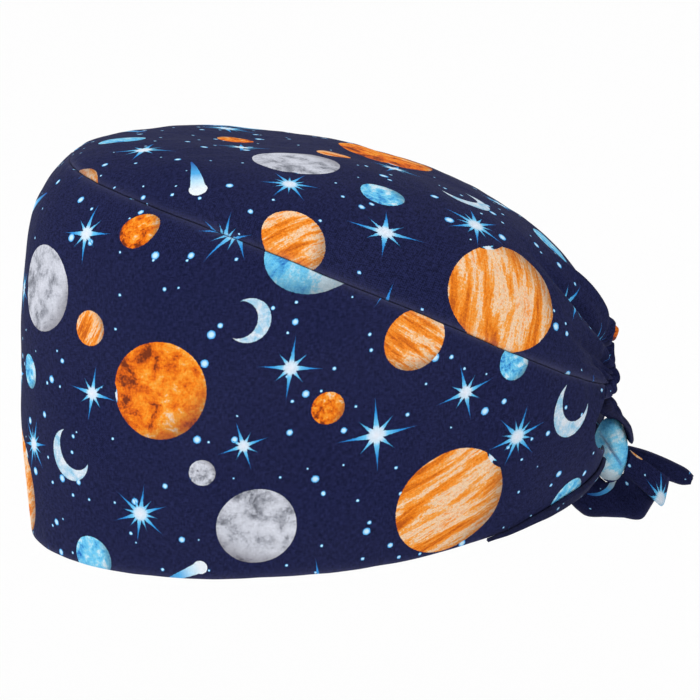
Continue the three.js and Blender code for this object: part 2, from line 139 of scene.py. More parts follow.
def turn_aside(reach, aside):
    """The turn at which a ring is a given distance aside of the middle of the back."""
    side, square = table_at(FORM, reach)[[3, 7]]
    share = aside / (side * HALF_WIDTH)
    return 180.0 - math.degrees(math.atan2(share, (1 - share**square) ** (1 / square)))


# The arch over the opening at the back, where the elastic gathers the cloth
ARCH_TURN, ARCH_RISE = 157.0, 1.45
OPENING_REACH, OPENING_RISE = 4.9, 1.7
GATHER_COUNT, GATHER_DEPTH, GATHER_REACH, GATHER_FAN = 13, 1.5, 0.9, 0.45


def arch_rise(turn):
    return smooth_step((np.abs(turn) - ARCH_TURN) / (180 - ARCH_TURN))


def crown_edge(turn):
    return SEAM_REACH + ARCH_RISE * arch_rise(turn)


def gather_lift(reach, turn):
    """Rounded puffs with pinched valleys between them, strongest at the elastic, and finer puckers that
    run on into the crown."""
    aside = np.where(turn > 0, turn - 180, turn + 180)
    above = np.maximum(reach - crown_edge(turn), 0)
    home = aside / (1 + GATHER_FAN * above)
    half = 180 - ARCH_TURN
    wave = home * GATHER_COUNT / (2 * half)
    wave = wave + 0.2 * np.sin(1.7 * wave + 1)
    depth = GATHER_DEPTH * np.exp(-((above / GATHER_REACH) ** 2))
    fade = smooth_step((1.14 * half - np.abs(home)) / (0.34 * half))
    puff = 1.05 - 2.0 * np.abs(np.sin(np.pi * wave)) ** 1.1
    fine = 0.2 * np.cos(2 * np.pi * 2.3 * wave + 0.7) + 0.12 * np.cos(2 * np.pi * 4.7 * wave + 2.1)
    near = np.exp(-((above / 1.9) ** 2)) * smooth_step((1.7 * half - np.abs(home)) / (0.7 * half))
    pucker = 0.32 * np.cos(2 * np.pi * 1.45 * wave + 0.9 * np.sin(2.3 * wave) + 2.0)
    return np.where(reach < OPENING_REACH, 0.0, depth * fade * (puff + fine) + near * pucker)


# Folds and dents, each a line over the cloth that fades towards its end: three places as turn and reach,
# then how far it lifts the cloth in mm, and its half width in mm
FOLDS = [
    (173, 7.4, 158, 8.3, 136, 9.7, -7.0, 3.9),
    (180, 7.72, 168, 8.6, 152, 9.9, 4.6, 5.04),
    (165, 7.0, 151, 7.4, 141, 7.6, -2.4, 2.8),
    (168, 7.1, 156, 7.7, 146, 8.3, 1.3, 2.6),
    (161, 6.7, 152, 6.9, 145, 6.95, -1.5, 2.0),
    (-172, 7.3, -152, 7.9, -134, 8.7, -3.2, 4.9),
    (-164, 7.9, -150, 8.6, -138, 9.2, 1.6, 5.6),
    (-163, 7.0, -148, 7.3, -137, 7.5, -2.2, 2.8),
    (60, 1.2, 52, 2.2, 49, 3.6, -0.9, 9.0),
    (128, 1.6, 116, 2.4, 104, 3.4, -0.8, 8.0),
    (-120, 1.5, -108, 2.6, -96, 3.4, -0.9, 9.0),
    (-40, 1.0, -34, 2.2, -30, 3.6, -0.8, 8.0),
    (98, 1.7, 86, 1.6, 70, 1.8, -1.6, 11.2),
    (-92, 2.0, -80, 1.8, -66, 2.0, -1.4, 11.2),
]


def fold_line(fold, steps=8):
    s = np.linspace(0, 1, steps + 1)
    start, middle, end = (1 - s) * (1 - 2 * s), 4 * s * (1 - s), s * (2 * s - 1)
    turn = start * fold[0] + middle * fold[2] + end * fold[4]
    reach = start * fold[1] + middle * fold[3] + end * fold[5]
    return form_point(reach, turn)


def fold_lift(points, folds=FOLDS):
    lift = np.zeros(points.shape[:-1])
    for fold in folds:
        line = fold_line(fold)
        best = np.full(points.shape[:-1], np.inf)
        along = np.zeros(points.shape[:-1])
        for i in range(len(line) - 1):
            ab = line[i + 1] - line[i]
            share = np.clip(((points - line[i]) @ ab) / (ab @ ab), 0, 1)
            distance = np.linalg.norm(points - line[i] - share[..., None] * ab, axis=-1)
            nearer = distance < best
            along = np.where(nearer, (i + share) / (len(line) - 1), along)
            best = np.where(nearer, distance, best)
        across = best / fold[7]
        crest = np.exp(-1.5 * (np.sqrt(across**2 + 0.03) - 0.17) - 0.25 * across**4)
        lift += fold[6] * crest * smooth_step((1 - along) * 1.8)
    return lift


def ripple(points, length, seed):
    """A smooth, repeatable unevenness of about -1 to 1, with waves of about a length in mm."""
    rng = np.random.default_rng(seed)
    total = np.zeros(points.shape[:-1])
    for _ in range(7):
        direction = unit(rng.normal(size=3)) * 2 * math.pi / (length * rng.uniform(0.7, 1.6))
        total += np.sin(points @ direction + rng.uniform(0, 2 * math.pi))
    return total / 3.2


def seam_pucker(reach, turn, points):
    """Small puckers that the seam's thread draws in the cloth beside it."""
    off = np.abs(reach - SEAM_REACH) / np.maximum(reach_of(1.0, SEAM_REACH, turn), 1e-6)
    return 0.28 * np.exp(-((off / 4.5) ** 2)) * ripple(points, 8.0, 5)


def cloth_point(reach, turn, depth):
    """A point of the cloth in mm, a given depth below its outer face."""
    reach, turn, depth = np.broadcast_arrays(reach, turn, depth)
    point = form_point(reach, turn)
    lift = gather_lift(reach, turn) + fold_lift(point) + seam_pucker(reach, turn, point)
    lift = lift + 0.42 * ripple(point, 42.0, 11) + 0.12 * ripple(point, 14.0, 3)
    return point + form_normal(reach, turn) * (lift - depth)[..., None]


# Lengths along the cloth, which place the print: round the band's middle ring, and up from the rim
turn_marks = np.linspace(-180, 180, 721)
reach_marks = np.linspace(-0.2, TOP_REACH, 184)
middle_ring = form_point(3.0, turn_marks)
ring_length = np.concatenate([[0], np.cumsum(np.linalg.norm(np.diff(middle_ring, axis=0), axis=1))])
ring_length -= ring_length[360]
rise_grid = form_point(reach_marks[:, None], turn_marks[None, :])
rise_length = np.concatenate([
    np.zeros((1, 721)), np.cumsum(np.linalg.norm(np.diff(rise_grid, axis=0), axis=2), axis=0)])
rise_length -= rise_length[3]


def length_up(reach, turn):
    """The length of cloth from the rim up to a place."""
    row = np.clip((reach - reach_marks[0]) / (reach_marks[1] - reach_marks[0]), 0, 182.999)
    column = np.clip((turn + 180) / 0.5, 0, 719.999)
    i, j = row.astype(int), column.astype(int)
    a, b = row - i, column - j
    low = mix(rise_length[i, j], rise_length[i, j + 1], b)
    return mix(low, mix(rise_length[i + 1, j], rise_length[i + 1, j + 1], b), a)


def band_cloth(reach, turn):
    return np.stack([np.interp(turn, turn_marks, ring_length), length_up(reach, turn)], -1)


def make_piece(name, points, cloth, materials, finish=None, wear_and_shade=None, ring=False, loop=True, poles=None):
    """One closed piece of cloth. points run round the cloth's section (first index) and along the piece
    (second). ring joins the piece's ends, loop joins the section's ends, and poles are two end points with
    their places on the print. finish gives each section row's material."""
    rows, columns = points.shape[:2]
    vertices = points.reshape(-1, 3)
    places = cloth.reshape(-1, 2)
    k = np.arange(rows if loop else rows - 1)
    n = np.arange(columns if ring else columns - 1)
    k, n = np.meshgrid(k, n, indexing="ij")
    k2, n2 = (k + 1) % rows, (n + 1) % columns
    quads = np.stack([k * columns + n, k * columns + n2, k2 * columns + n2, k2 * columns + n], -1)
    faces = quads.reshape(-1, 4).tolist()
    finish = np.zeros(rows, int) if finish is None else np.asarray(finish)
    face_finish = finish[k].reshape(-1).tolist()
    if poles:
        ends, end_places = poles
        vertices = np.concatenate([vertices, np.asarray(ends, float)])
        places = np.concatenate([places, np.asarray(end_places, float)])
        first, second = rows * columns, rows * columns + 1
        for j in range(columns):
            j2 = (j + 1) % columns
            faces.append([j2, j, first])
            face_finish.append(int(finish[0]))
            faces.append([(rows - 1) * columns + j, (rows - 1) * columns + j2, second])
            face_finish.append(int(finish[-1]))
    elif not ring:
        section = np.arange(rows) * columns
        faces.append(section.tolist())
        faces.append((section[::-1] + columns - 1).tolist())
        face_finish += [0, 0]
    mesh = bpy.data.meshes.new(name)
    mesh.from_pydata((vertices * MM).tolist(), [], faces)
    corner_vertex = np.empty(len(mesh.loops), int)
    mesh.loops.foreach_get("vertex_index", corner_vertex)
    layer = mesh.uv_layers.new(name="cloth")
    layer.data.foreach_set("uv", (places[corner_vertex] * MM).astype(np.float32).ravel())
    # wear_and_shade is wear along the edges, and on the knot painted shade along its creases.
    wear_and_shade = 0.0 if wear_and_shade is None else wear_and_shade
    worn_and_shaded = np.resize(np.asarray(wear_and_shade, float).ravel(), len(vertices))
    mesh.attributes.new("wear_and_shade", "FLOAT", "POINT").data.foreach_set("value", worn_and_shaded.astype(np.float32))
    for material in materials:
        mesh.materials.append(material)
    mesh.polygons.foreach_set("material_index", np.array(face_finish, dtype=np.int32))
    mesh.polygons.foreach_set("use_smooth", np.ones(len(faces), dtype=bool))
    mesh.update()
    piece = bpy.data.objects.new(name, mesh)
    bpy.context.scene.collection.objects.link(piece)
    return piece


def ink(red, green, blue):
    """A colour of 0 to 255 as the shader's linear colour."""
    linear = [c / 255 / 12.92 if c <= 10 else ((c / 255 + 0.055) / 1.055) ** 2.4 for c in (red, green, blue)]
    return (*linear, 1.0)


def add_node(tree, kind, values=(), **settings):
    """One shader node, with its settings and with values or links for its inputs, by number or name."""
    node = tree.nodes.new("ShaderNode" + kind)
    for name, value in settings.items():
        setattr(node, name, value)
    for key, value in dict(values).items():
        if isinstance(value, bpy.types.NodeSocket):
            tree.links.new(value, node.inputs[key])
        else:
            node.inputs[key].default_value = value
    return node


def maths(tree, operation, *values, clamp=False):
    return add_node(tree, "Math", enumerate(values), operation=operation, use_clamp=clamp).outputs[0]


def vector_maths(tree, operation, *values):
    node = add_node(tree, "VectorMath", enumerate(values), operation=operation)
    return node.outputs["Value" if operation in ("LENGTH", "DOT_PRODUCT", "DISTANCE") else "Vector"]


def mix_colours(tree, share, first, second, how="MIX"):
    node = add_node(tree, "Mix", {0: share, 6: first, 7: second}, data_type="RGBA", blend_type=how)
    return node.outputs[2]


def ramp(tree, value, stops):
    node = add_node(tree, "ValToRGB", {0: value})
    elements = node.color_ramp.elements
    while len(elements) < len(stops):
        elements.new(0.5)
    for element, (place, colour) in zip(elements, stops):
        element.position = place
        element.color = colour
    return node.outputs[0]


def spread(tree, value, low, high, out_low=0.0, out_high=1.0):
    """A value's range stretched to another one, smoothly and without going past it."""
    values = {0: value, 1: low, 2: high, 3: out_low, 4: out_high}
    return add_node(tree, "MapRange", values, interpolation_type="SMOOTHSTEP").outputs[0]


def noise(tree, place, scale, detail, output="Fac", **more):
    """Two-dimensional noise over the cloth."""
    values = {"Vector": place, "Scale": scale, "Detail": detail, **more}
    return add_node(tree, "TexNoise", values, noise_dimensions="2D").outputs[output]


def new_group(name, inputs, outputs):
    """A node group with named inputs and outputs, each given as a name and a socket type."""
    group = bpy.data.node_groups.new(name, "ShaderNodeTree")
    for label, kind, value in inputs:
        socket = group.interface.new_socket(name=label, in_out="INPUT", socket_type="NodeSocket" + kind)
        if value is not None:
            socket.default_value = value
    for label, kind in outputs:
        group.interface.new_socket(name=label, in_out="OUTPUT", socket_type="NodeSocket" + kind)
    return group, group.nodes.new("NodeGroupInput").outputs, group.nodes.new("NodeGroupOutput").inputs


# Plain weave: threads that cross over and under each other, uneven in thickness and in shade
weave, given, made = new_group(
    "plain_weave",
    [("Cloth", "Vector", None), ("Thread", "Float", 0.45)],
    [("Height", "Float"), ("Shade", "Float")],
)
across = add_node(weave, "SeparateXYZ", {0: given["Cloth"]}).outputs
waves = []
for place_across in across[:2]:
    threads_across = maths(weave, "DIVIDE", maths(weave, "MULTIPLY", place_across, math.pi), given["Thread"])
    waves.append(maths(weave, "COSINE", threads_across))
crossing = maths(weave, "MULTIPLY", *waves)
warp_place = vector_maths(weave, "MULTIPLY", given["Cloth"], (2.6, 0.5, 0.0))
weft_place = vector_maths(weave, "MULTIPLY", given["Cloth"], (0.5, 2.6, 0.0))
warp_noise = noise(weave, warp_place, 1.0, 3.0, Roughness=0.7)
weft_noise = noise(weave, weft_place, 1.0, 3.0, Roughness=0.7)
slub = maths(weave, "MULTIPLY_ADD", maths(weave, "ADD", warp_noise, weft_noise), 1.15, -0.15)
height = maths(weave, "MULTIPLY_ADD", crossing, 0.5, slub)
weave.links.new(height, made["Height"])
shade = maths(weave, "MULTIPLY_ADD", crossing, 0.14, maths(weave, "SUBTRACT", slub, 0.5))
weave.links.new(shade, made["Shade"])

# Soft creases that handling leaves in cotton, a few millimetres to a few centimetres long
creases, given, made = new_group("soft_creases", [("Cloth", "Vector", None)], [("Height", "Float")])
large = noise(creases, given["Cloth"], 0.035, 3.0)
small = noise(creases, given["Cloth"], 0.16, 2.0)
crease_height = maths(creases, "MULTIPLY_ADD", small, 0.3, large)
creases.links.new(crease_height, made["Height"])

# The print's repeat, charted: kind, place across and up in mm, radius in mm, and slant in degrees
BANDED, MOTTLED, SILVER, SKY, CRESCENT, COMET, STAR, STARBURST = range(1, 9)
REPEAT = (200.0, 170.0)
MOTIFS = [
    (BANDED, 38, 40, 21, 24), (MOTTLED, 128, 92, 18, 0), (SKY, 182, 148, 22, -30),
    (SILVER, 70, 122, 16, 15), (SKY, 96, 22, 9, 50), (SILVER, 165, 40, 15, -60),
    (BANDED, 20, 105, 11, -38), (MOTTLED, 112, 150, 7, 80), (CRESCENT, 88, 62, 10, 35),
    (CRESCENT, 160, 118, 8, 160), (COMET, 36, 148, 15, 28), (COMET, 136, 20, 13, 205),
    (MOTTLED, 190, 84, 6, 30), (SKY, 60, 88, 6.5, 0), (SILVER, 145, 62, 5, 90),
    (BANDED, 98, 112, 6.5, 65), (STAR, 8, 72, 15, 5), (STARBURST, 62, 60, 11.875, 12),
    (STAR, 100, 88, 11.25, -8), (STARBURST, 147, 152, 15, 3), (STAR, 190, 12, 13.75, 10),
    (STAR, 66, 8, 13.75, -4), (STARBURST, 120, 44, 12.5, 20), (STAR, 40, 82, 11.25, 14),
    (STARBURST, 44, 116, 11.25, -10), (STAR, 90, 146, 12.5, 7), (STAR, 176, 100, 12.5, -6),
    (STAR, 160, 72, 10, 18), (STARBURST, 10, 128, 11.25, 0),
]
NAVY, NAVY_WORN = ink(8, 13, 42), ink(33, 38, 82)
DOT_CORE, DOT_RIM = ink(200, 238, 255), ink(52, 160, 235)

printed, given, made = new_group(
    "night_sky_print",
    [("Cloth", "Vector", None), ("Shade", "Float", 0.5), ("Wear_and_shade", "Float", 0.0), ("Motifs", "Float", 1.0)],
    [("Color", "Color")],
)
bleed = noise(printed, given["Cloth"], 2.4, 1.0, output="Color")
bleed = vector_maths(printed, "SUBTRACT", bleed, (0.5, 0.5, 0.5))
bleed = vector_maths(printed, "MULTIPLY", bleed, (0.5, 0.5, 0.0))
place = vector_maths(printed, "ADD", given["Cloth"], bleed)
half_x, half_y = REPEAT[0] / 2, REPEAT[1] / 2
local, kind = (0.0, 0.0, 0.0), 0.0
for number, (motif, x, y, radius, slant) in enumerate(MOTIFS):
    off = vector_maths(printed, "SUBTRACT", place, (x, y, 0.0))
    off = vector_maths(printed, "WRAP", off, (half_x, half_y, 1.0), (-half_x, -half_y, -1.0))
    off = add_node(printed, "Mapping", {
        "Vector": off, "Rotation": (0.0, 0.0, math.radians(-slant)),
        "Scale": (1 / radius, 1 / radius, 0.0)}).outputs[0]
    here = maths(printed, "LESS_THAN", vector_maths(printed, "LENGTH", off), 1.0)
    local = vector_maths(printed, "MULTIPLY_ADD", off, here, local)
    kind = maths(printed, "MULTIPLY_ADD", here, motif + (number * 0.137 + 0.05) % 0.9 + 0.03, kind)
seed = maths(printed, "FRACT", kind)
kind = maths(printed, "FLOOR", kind)
radius = vector_maths(printed, "LENGTH", local)
local_x, local_y = add_node(printed, "SeparateXYZ", {0: local}).outputs[:2]


def is_kind(number):
    return maths(printed, "COMPARE", kind, float(number), 0.3)


# Marbling of the discs: bands drawn out sideways on one kind, even mottles on the others
banded = is_kind(BANDED)
stretch = add_node(printed, "CombineXYZ", {
    0: maths(printed, "MULTIPLY_ADD", banded, -1.6, 2.1),
    1: maths(printed, "MULTIPLY_ADD", banded, 1.9, 2.1),
    2: 0.0})
marble_place = vector_maths(printed, "MULTIPLY", local, stretch.outputs[0])
seed_place = add_node(printed, "CombineXYZ", {
    0: maths(printed, "MULTIPLY", seed, 97.0), 1: maths(printed, "MULTIPLY", seed, 61.0)})
marble_place = vector_maths(printed, "ADD", marble_place, seed_place.outputs[0])
marble = noise(printed, marble_place, 1.0, 7.0, Roughness=0.66, Distortion=0.25)
grain = noise(printed, given["Cloth"], 1.1, 2.0)
marble = maths(printed, "MULTIPLY_ADD", grain, 0.16, maths(printed, "SUBTRACT", marble, 0.08))
marble = maths(printed, "MULTIPLY_ADD", local_x, 0.07, marble)
toward_shade = vector_maths(printed, "DOT_PRODUCT", local, (0.5, -0.62, 0.0))
limb = maths(printed, "MULTIPLY_ADD", maths(printed, "POWER", radius, 3.0), 0.3, toward_shade)
limb = spread(printed, limb, 0.35, 1.1)

ORANGE = [(0.33, ink(122, 50, 14)), (0.42, ink(222, 98, 6)), (0.52, ink(250, 134, 14)),
          (0.62, ink(255, 168, 52)), (0.74, ink(246, 222, 196))]
ORANGE_BANDS = [(0.32, ink(196, 92, 18)), (0.44, ink(250, 138, 24)), (0.52, ink(255, 170, 74)),
                (0.58, ink(250, 222, 188)), (0.68, ink(255, 152, 44))]
GREY = [(0.28, ink(104, 107, 116)), (0.41, ink(168, 171, 182)), (0.5, ink(202, 205, 216)),
        (0.7, ink(222, 225, 236))]
BLUE = [(0.3, ink(38, 116, 196)), (0.42, ink(92, 190, 240)), (0.54, ink(128, 214, 248)),
        (0.66, ink(214, 240, 252))]
CRESCENT_INK = [(0.35, ink(150, 205, 235)), (0.6, ink(226, 236, 246))]
colour = ramp(printed, marble, ORANGE)
colour = mix_colours(printed, banded, colour, ramp(printed, marble, ORANGE_BANDS))
colour = mix_colours(printed, is_kind(SILVER), colour, ramp(printed, marble, GREY))
colour = mix_colours(printed, is_kind(SKY), colour, ramp(printed, marble, BLUE))
colour = mix_colours(printed, maths(printed, "MULTIPLY", limb, 0.55), colour, ink(58, 42, 52))

# Crescent: the disc less another one set aside
crescent_bite = vector_maths(printed, "LENGTH", vector_maths(printed, "SUBTRACT", local, (0.42, 0.1, 0.0)))
crescent = maths(printed, "GREATER_THAN", crescent_bite, 0.84)
colour = mix_colours(printed, is_kind(CRESCENT), colour, ramp(printed, marble, CRESCENT_INK))

# Comet: a round head, and a tail that narrows and fades
tail_share = maths(printed, "DIVIDE", maths(printed, "ADD", local_x, 0.62), 1.6)
tail_width = maths(printed, "MULTIPLY_ADD", tail_share, -0.17, 0.19)
tail = maths(printed, "MULTIPLY", maths(printed, "GREATER_THAN", tail_share, 0.0),
             maths(printed, "LESS_THAN", maths(printed, "ABSOLUTE", local_y), tail_width))
from_head = vector_maths(printed, "LENGTH", vector_maths(printed, "SUBTRACT", local, (-0.62, 0.0, 0.0)))
comet = maths(printed, "MAXIMUM", tail, maths(printed, "LESS_THAN", from_head, 0.22))
COMET_INK = [(0.0, ink(240, 248, 255)), (0.2, ink(196, 234, 255)), (0.45, ink(84, 180, 242)),
             (1.0, ink(32, 84, 170))]
colour = mix_colours(printed, is_kind(COMET), colour, ramp(printed, tail_share, COMET_INK))

# Sparkle: long and short rays in turn, thin and curved in, round a bright core
angle = maths(printed, "ARCTAN2", local_y, local_x)
burst = is_kind(STARBURST)
sector = maths(printed, "MULTIPLY_ADD", burst, math.radians(-15), math.radians(45))
ray = maths(printed, "DIVIDE", angle, sector)
near_ray = maths(printed, "ROUND", ray)
aside = maths(printed, "MULTIPLY", maths(printed, "SUBTRACT", ray, near_ray), sector)
out = maths(printed, "MULTIPLY", radius, maths(printed, "COSINE", aside))
aside = maths(printed, "MULTIPLY", radius, maths(printed, "ABSOLUTE", maths(printed, "SINE", aside)))
short = maths(printed, "PINGPONG", near_ray, 1.0)
ray_share = maths(printed, "DIVIDE", out, maths(printed, "MULTIPLY_ADD", short, -0.4, 1.0))
ray_width = maths(printed, "POWER", maths(printed, "SUBTRACT", 1.0, ray_share, clamp=True), 1.7)
ray_width = maths(printed, "MULTIPLY", ray_width, 0.105)
in_core = maths(printed, "LESS_THAN", radius, 0.13)
sparkle = maths(printed, "MAXIMUM", maths(printed, "LESS_THAN", aside, ray_width), in_core)
is_sparkle = maths(printed, "GREATER_THAN", kind, COMET + 0.5)
SPARKLE = [(0.0, ink(238, 244, 255)), (0.17, ink(214, 236, 252)), (0.27, ink(110, 204, 250)),
           (0.55, ink(46, 150, 230)), (1.0, ink(28, 96, 190))]
colour = mix_colours(printed, is_sparkle, colour, ramp(printed, radius, SPARKLE))

# Which part of each motif's circle is inked
is_disc = maths(printed, "LESS_THAN", kind, SKY + 0.5)
inked = maths(printed, "MULTIPLY", maths(printed, "GREATER_THAN", kind, 0.5), is_disc)
for mask, where in ((crescent, is_kind(CRESCENT)), (comet, is_kind(COMET)), (sparkle, is_sparkle)):
    inked = maths(printed, "MULTIPLY_ADD", mask, where, inked)
inked = maths(printed, "MULTIPLY", inked, given["Motifs"])

# Ground, with two sizes of dots strewn over it
ground = mix_colours(printed, spread(printed, given["Shade"], 0.2, 0.8), NAVY, NAVY_WORN)
for cell, smallest, largest, share in ((13.0, 0.35, 0.8, 0.3), (21.0, 0.9, 1.6, 0.25)):
    cells = {"Vector": place, "Scale": 1 / cell, "Randomness": 1.0}
    dots = add_node(printed, "TexVoronoi", cells, voronoi_dimensions="2D")
    chance = add_node(printed, "SeparateColor", {0: dots.outputs["Color"]}).outputs
    size = maths(printed, "MULTIPLY_ADD", chance[0], (largest - smallest) / cell, smallest / cell)
    within = maths(printed, "DIVIDE", dots.outputs["Distance"], size)
    chosen = maths(printed, "GREATER_THAN", chance[1], share)
    dot = maths(printed, "MULTIPLY", maths(printed, "LESS_THAN", within, 1.0), chosen)
    dot_colour = mix_colours(printed, spread(printed, within, 0.35, 1.0), DOT_CORE, DOT_RIM)
    ground = mix_colours(printed, dot, ground, dot_colour)
tint = spread(printed, given["Shade"], 0.2, 0.9, 0.84, 1.06)
tint = add_node(printed, "CombineColor", {0: tint, 1: tint, 2: tint}).outputs[0]
inked_colour = mix_colours(printed, 1.0, colour, tint, "MULTIPLY")
colour = mix_colours(printed, inked, ground, inked_colour)
# Wear and painted shade: the colour is drawn towards a greyish blue, paler on the navy ground and darker on
# pale motifs, as along the knot's creases.
colour = mix_colours(printed, maths(printed, "MULTIPLY", given["Wear_and_shade"], 0.3), colour, ink(128, 128, 160))
printed.links.new(colour, made["Color"])


def printed_cotton(name, shift=(0.0, 0.0), slant=0.0, strike=1.0, motifs=1.0, deep=0.0, weave_depth=0.07):
    """Matt printed cotton whose print and weave follow the cloth. shift and slant place the print, strike
    is how much of the ink shows: all on the right side, part on the reverse. A strip cut from between the
    large motifs has motifs of 0. deep is painted shade: it darkens the colour towards a dark navy, for
    pieces that lie in shade."""
    material = bpy.data.materials.new(name)
    material.use_nodes = True
    tree = material.node_tree
    tree.nodes.clear()
    threads = add_node(tree, "UVMap", uv_map="cloth").outputs[0]
    threads = vector_maths(tree, "MULTIPLY", threads, (1000.0, 1000.0, 0.0))
    print_place = add_node(tree, "Mapping", {
        "Vector": threads, "Location": (*shift, 0.0), "Rotation": (0.0, 0.0, math.radians(slant))}).outputs[0]
    threads_node = add_node(tree, "Group", node_tree=weave)
    tree.links.new(threads, threads_node.inputs["Cloth"])
    # Wear and painted shade from the mesh attribute, broken up by large patches.
    worn_and_shaded = add_node(tree, "Attribute", attribute_name="wear_and_shade").outputs["Fac"]
    patches = noise(tree, threads, 0.02, 4.0)
    worn_and_shaded = maths(tree, "MULTIPLY_ADD", worn_and_shaded, patches, maths(tree, "MULTIPLY", patches, 0.1))
    print_node = add_node(tree, "Group", node_tree=printed)
    tree.links.new(print_place, print_node.inputs["Cloth"])
    tree.links.new(threads_node.outputs["Shade"], print_node.inputs["Shade"])
    tree.links.new(worn_and_shaded, print_node.inputs["Wear_and_shade"])
    print_node.inputs["Motifs"].default_value = motifs
    base = print_node.outputs["Color"]
    if strike < 1:
        pale = mix_colours(tree, threads_node.outputs["Shade"], ink(112, 116, 150), ink(168, 172, 196))
        base = mix_colours(tree, strike, pale, base)
    # Painted shade: the colour darkened towards a dark navy by the share deep.
    if deep > 0:
        base = mix_colours(tree, deep, base, ink(8, 11, 34))
    folds = add_node(tree, "Group", node_tree=creases)
    tree.links.new(threads, folds.inputs["Cloth"])
    relief = maths(tree, "MULTIPLY_ADD", folds.outputs["Height"], 4.0,
                   maths(tree, "MULTIPLY", threads_node.outputs["Height"], weave_depth))
    bump = add_node(tree, "Bump", {"Height": relief, "Distance": 0.0003, "Strength": 1.0})
    roughness = spread(tree, threads_node.outputs["Shade"], 0.2, 0.9, 0.92, 0.8)
    shader = add_node(tree, "BsdfPrincipled", {
        "Base Color": base, "Roughness": roughness, "Normal": bump.outputs[0], "IOR": 1.45,
        "Specular IOR Level": 0.08, "Sheen Weight": 0.02, "Sheen Roughness": 0.5,
        "Sheen Tint": ink(180, 185, 235)})
    output = add_node(tree, "OutputMaterial")
    tree.links.new(shader.outputs[0], output.inputs[0])
    return material


# The band's columns: round the front and sides, then its shaped ends as the turn on the left and on the
# right, the reach on the left and on the right, and the rim's turn
PLAIN_TURN, TIE_REACH, TIE_ASIDE = 118.0, 1.85, 8.4
TIE_TURN = turn_aside(TIE_REACH / 2, TIE_ASIDE)
BAND_END = np.array([
    [157, 157, 6, 6, 133], [156, 157.4, 5.5, 5.5, 134.5], [154.3, 157.8, 4.9, 4.9, 136.5],
    [151.5, 158.2, 4.3, 4.3, 139.5], [149.5, 158.6, 3.6, 3.6, 144], [149.3, 158.6, 2.9, 3.0, 148.7],
    [151.8, 158.8, 2.3, 2.6, 154], [158, 161, 1.9, 2.45, 159], [166, 167, 1.5, 2.4, 167],
    [TIE_TURN, TIE_TURN, 1.3, 2.3, TIE_TURN],
])
CLOTH, HEM, HEM_HEIGHT = 0.7, 1.4, 12.0
SEAM_ROLL, SEAM_EDGE, ALLOWANCE = 0.9, 0.1, 6.0

sewn_turn = np.linspace(-ARCH_TURN, ARCH_TURN, 381)
lean = np.clip((np.abs(sewn_turn) - PLAIN_TURN) / (ARCH_TURN - PLAIN_TURN), 0, 1)
sewn_rim = np.where(lean > 0, mix(PLAIN_TURN, BAND_END[0, 4], lean) * np.sign(sewn_turn), sewn_turn)
end_columns = table_at(BAND_END, np.linspace(0, 9, 64)[1:])
column_turn = np.concatenate([-end_columns[::-1, 1], sewn_turn, end_columns[:, 0]])
column_reach = np.concatenate([end_columns[::-1, 3], np.full(381, SEAM_REACH), end_columns[:, 2]])
column_rim = np.concatenate([-end_columns[::-1, 4], sewn_rim, end_columns[:, 4]])
sewn = smooth_step((ARCH_TURN - np.abs(column_turn)) / 5.0) * (column_reach > 5.99)

seam_step = reach_of(1.0, column_reach, column_turn)
rim_step = reach_of(1.0, 0.0, column_rim)
top = column_reach - SEAM_EDGE * seam_step
band_rows = []


def band_row(reach, depth, side, flip=False):
    depth = np.broadcast_to(np.asarray(depth, float), reach.shape)
    turn = mix(column_rim, column_turn, np.clip(reach / column_reach, 0, 1))
    band_rows.append((reach, turn, depth, side, flip))


roll = SEAM_ROLL * sewn + 0.45 * (1 - sewn)
for angle_share in np.linspace(90, 0, 5):
    tip = np.radians(angle_share)
    band_row(HEM / 2 * (1 - np.sin(tip)) * rim_step, HEM / 2 * (1 - np.cos(tip)), 0)
low, high = HEM / 2 * rim_step, top - roll * seam_step
for share in np.linspace(0, 1, 74)[1:-1]:
    band_row(mix(low, high, share), 0.0, 0)
for angle_share in np.linspace(0, 90, 6):
    tip = np.radians(angle_share)
    band_row(top - roll * (1 - np.sin(tip)) * seam_step, roll * (1 - np.cos(tip)), 0)
turned_up = ((0.7, 1.5), (3.0, 1.6), (ALLOWANCE, 1.6), (ALLOWANCE + 0.2, 1.8), (ALLOWANCE, 2.05),
             (3.0, 2.05), (0.0, 1.95))
for up, deep in turned_up:
    band_row(top + up * sewn * seam_step, mix(0.45 + 0.25 * (deep - 1.5), deep, sewn), 1)
low_inside = np.minimum(HEM_HEIGHT * rim_step, top - 1.4 * seam_step)
for share in np.linspace(1, 0, 40):
    deep = mix(CLOTH, 1.1, smooth_step((share - 0.97) / 0.03) * sewn)
    band_row(mix(low_inside, top - 1.2 * seam_step, share), deep, 1)
for up in np.linspace(HEM_HEIGHT - 0.3, HEM / 2, 9):
    band_row(low_inside * up / HEM_HEIGHT, HEM, 0, True)
for angle_share in (150, 120):
    tip = np.radians(angle_share)
    band_row(HEM / 2 * (1 - np.sin(tip)) * rim_step, HEM / 2 * (1 - np.cos(tip)), 0, True)

band_reach = np.stack([row[0] for row in band_rows])
band_turn = np.stack([row[1] for row in band_rows])
band_depth = np.stack([row[2] for row in band_rows])
band_places = band_cloth(band_reach, band_turn)
band_flip = np.array([row[4] for row in band_rows])
band_places[band_flip, :, 1] *= -1
edge_near = np.minimum(np.abs(band_reach) / rim_step, np.abs(band_reach - top) / seam_step)
front_band = make_piece(
    "front_band_cloth",
    cloth_point(band_reach, band_turn, band_depth),
    band_places,
    [printed_cotton("band_print", shift=(20.0, 18.0)),
     printed_cotton("band_reverse", shift=(20.0, 18.0), strike=0.8)],
    finish=[row[3] for row in band_rows],
    wear_and_shade=np.exp(-edge_near / 1.2),
)
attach(front_band, "root")
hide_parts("front_band")


